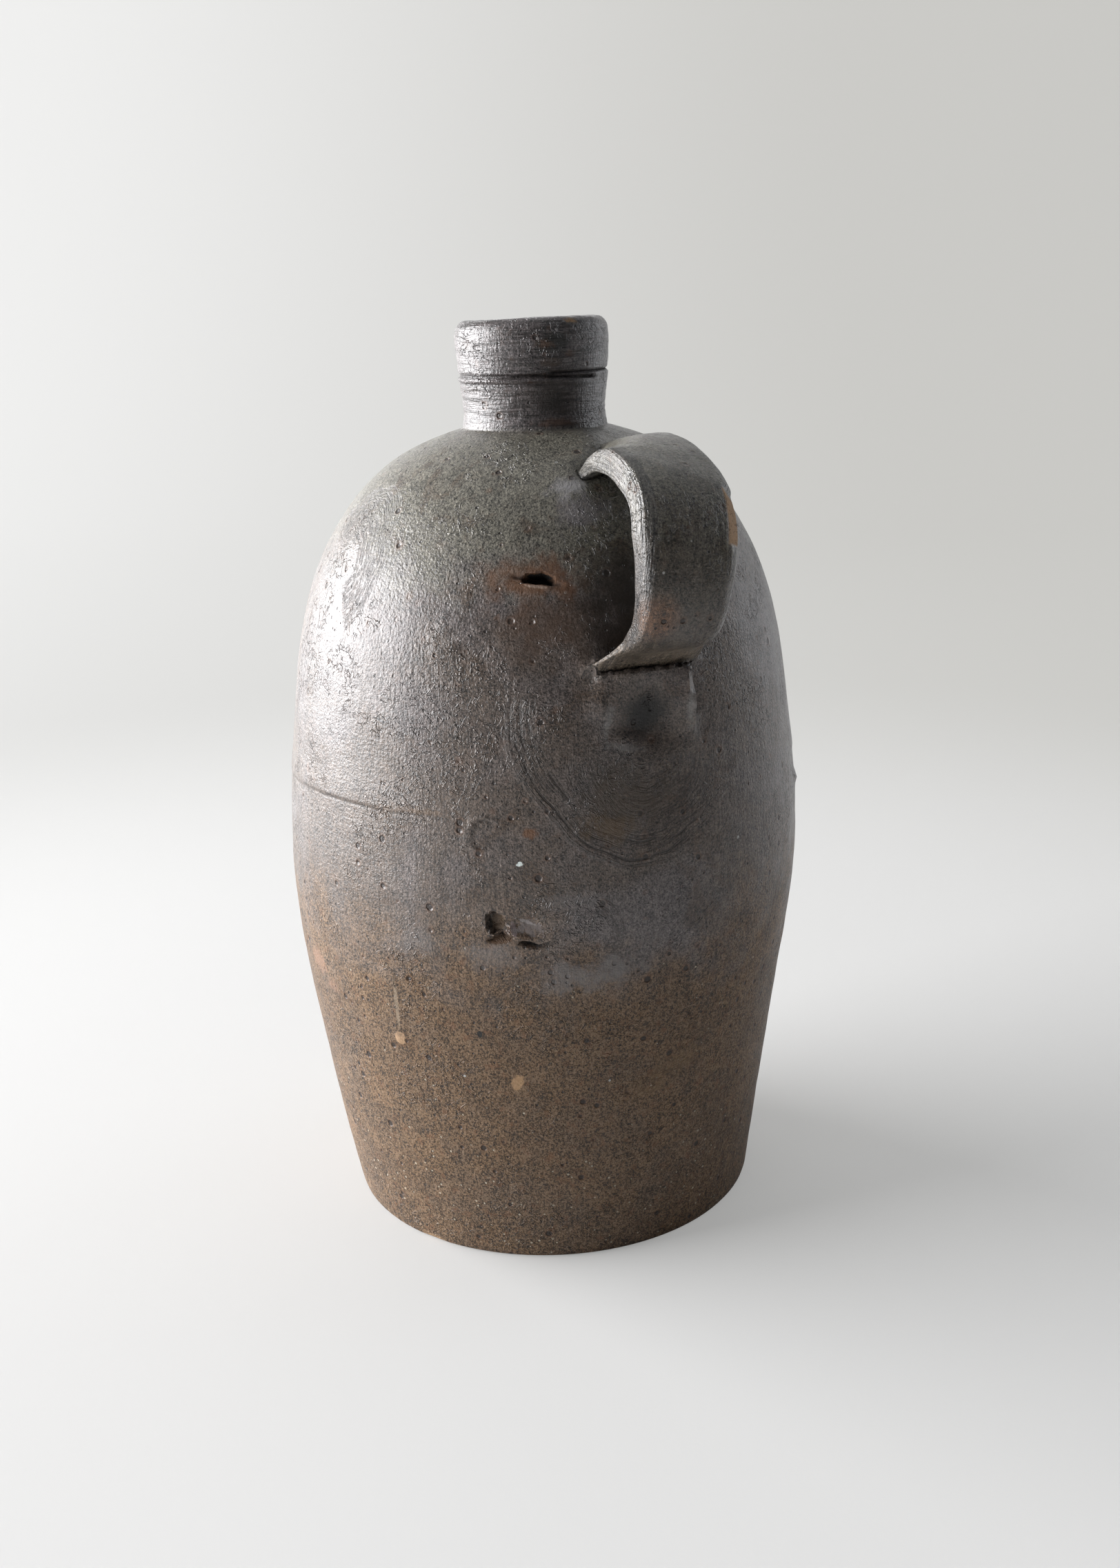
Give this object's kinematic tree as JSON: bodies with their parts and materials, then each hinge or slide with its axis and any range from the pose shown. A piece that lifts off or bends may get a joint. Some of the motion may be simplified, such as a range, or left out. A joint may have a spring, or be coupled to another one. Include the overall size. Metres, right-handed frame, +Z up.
{
  "type": "stoneware jug",
  "caption": "Tall rounded stoneware jug with a short collared neck bored for a cork and a strap handle from shoulder to side.",
  "frame": {"origin": "centre of the flat foot, on the axis that the body was turned about", "axes": "+Z up along the turning axis, +X towards the handle"},
  "size_m": [0.1876, 0.1698, 0.292],
  "materials": {
    "salt_glazed_clay": "worn satin salt glaze, silver-grey above and khaki brown below"
  },
  "bodies": {
    "root": {"jug": "salt_glazed_clay"}
  },
  "joints": []
}
